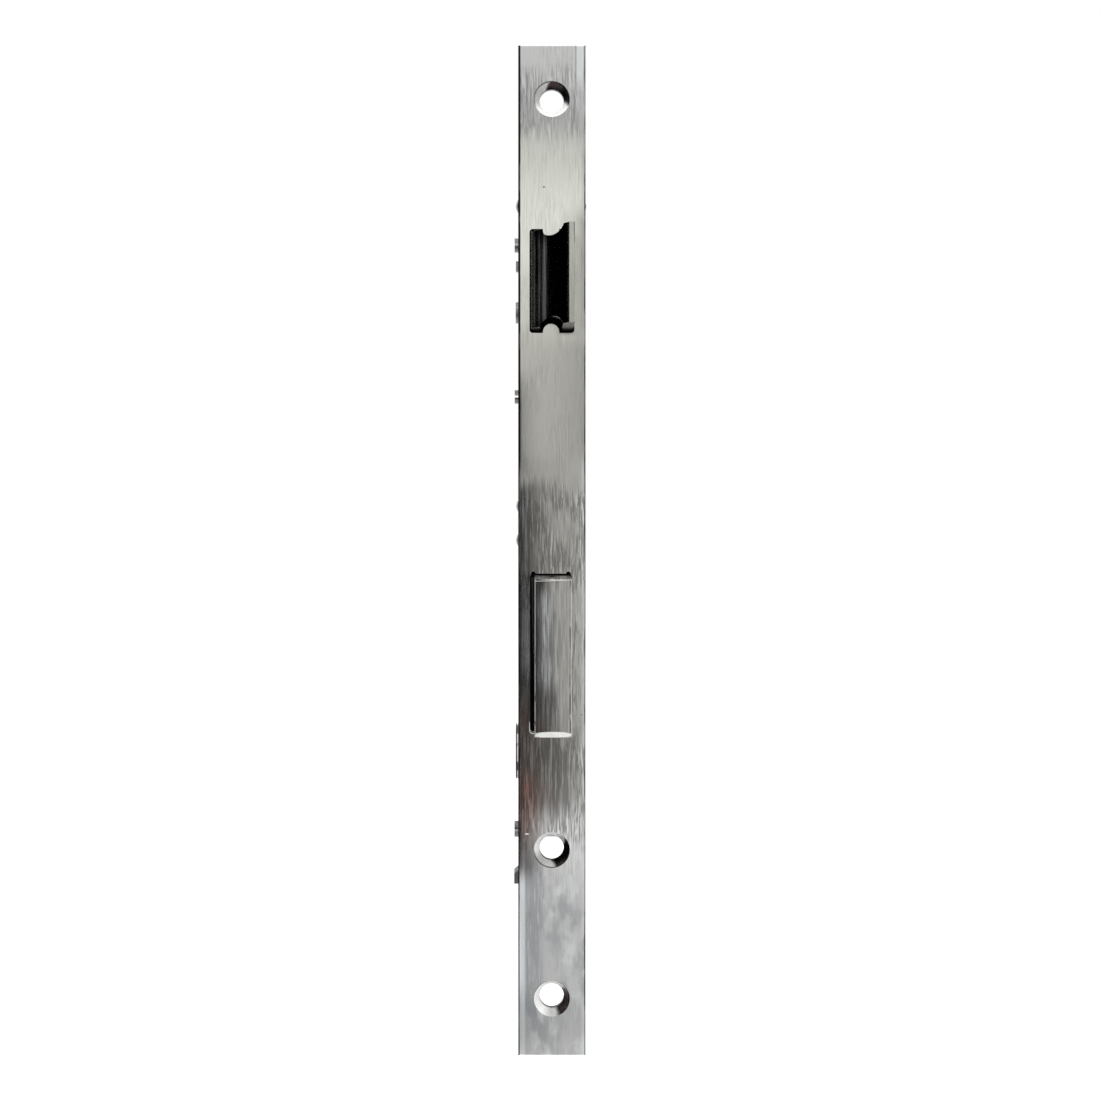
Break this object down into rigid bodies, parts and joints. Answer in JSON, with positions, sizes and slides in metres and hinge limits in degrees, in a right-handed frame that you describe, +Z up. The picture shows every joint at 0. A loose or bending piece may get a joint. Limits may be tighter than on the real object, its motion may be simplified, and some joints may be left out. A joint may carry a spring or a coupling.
{
  "type": "bathroom mortise lock",
  "caption": "Mortise lock with a long square-ended faceplate, bevelled spring latch, oblong deadbolt and flat case with square spindle holes.",
  "frame": {"origin": "on the faceplate's front face, midway across it and level with the handle spindle", "axes": "+Z up along the faceplate, +Y into the door from the faceplate's front face, +X across the lock, away from the case cover"},
  "size_m": [0.0177, 0.0836, 0.24],
  "materials": {
    "faceplate_nickel": "satin nickel, brushed along its length",
    "latch_nickel": "polished",
    "bolt_steel": "satin nickel plate",
    "case_zinc": "zinc-plated sheet",
    "peg_steel": "zinc-plated turned steel",
    "spring_steel": "bright spring wire",
    "hub_casting": "die-cast, as cast",
    "ring_plastic": "moulded"
  },
  "bodies": {
    "lock_case": {"faceplate": "faceplate_nickel", "faceplate_lug_top": "case_zinc", "faceplate_lug_bottom": "case_zinc", "lug_rivets": "peg_steel", "case_body": "case_zinc", "case_cover": "case_zinc", "cover_pillars": "peg_steel", "cover_screws": "peg_steel", "latch_guide_bracket": "case_zinc", "latch_guide_peg": "peg_steel", "latch_spring": "spring_steel", "plunger_bracket": "case_zinc", "follower_spring": "spring_steel", "follower_stop_peg": "peg_steel", "follower_rings": "ring_plastic", "bolt_guide_peg": "peg_steel", "detent_pegs": "peg_steel", "detent_spring": "spring_steel", "turn_hub_rings": "ring_plastic"},
    "latch": {"latch_head": "latch_nickel", "latch_rod": "peg_steel", "latch_tail": "case_zinc", "latch_tail_pin": "peg_steel"},
    "handle_follower": {"follower": "hub_casting"},
    "plunger": {"follower_plunger": "hub_casting"},
    "deadbolt": {"deadbolt_head": "bolt_steel", "deadbolt_tail": "case_zinc", "deadbolt_rivets": "peg_steel"},
    "privacy_turn": {"turn_hub": "hub_casting", "turn_crank_pin": "peg_steel"}
  },
  "joints": [
    {"name": "latch_slide", "type": "slide", "parent": "lock_case", "child": "latch", "axis": [0, 1, 0], "range_m": [0, 0.0112], "stiffness_N_per_m": 1680, "springref_m": -0.0057, "deforming": ["latch_spring"]},
    {"name": "handle_turn", "type": "hinge", "parent": "lock_case", "child": "handle_follower", "pos_m": [0, 0.045, 0], "axis": [-1, 0, 0], "range_deg": [0, 28]},
    {"name": "plunger_slide", "type": "slide", "parent": "lock_case", "child": "plunger", "axis": [0, -1, 0], "range_m": [0, 0.0097], "deforming": ["follower_spring"]},
    {"name": "deadbolt_slide", "type": "slide", "parent": "lock_case", "child": "deadbolt", "axis": [0, 1, 0], "range_m": [0, 0.0113], "deforming": ["detent_spring"]},
    {"name": "privacy_turn_spin", "type": "hinge", "parent": "lock_case", "child": "privacy_turn", "pos_m": [0, 0.045, -0.09], "axis": [-1, 0, 0], "range_deg": [0, 90]}
  ],
  "couplings": [
    {"joint": "handle_turn", "follows": "latch_slide", "rad_per_m": 43.633},
    {"joint": "plunger_slide", "follows": "latch_slide", "ratio": 0.8639},
    {"joint": "privacy_turn_spin", "follows": "deadbolt_slide", "rad_per_m": 139.01}
  ]
}
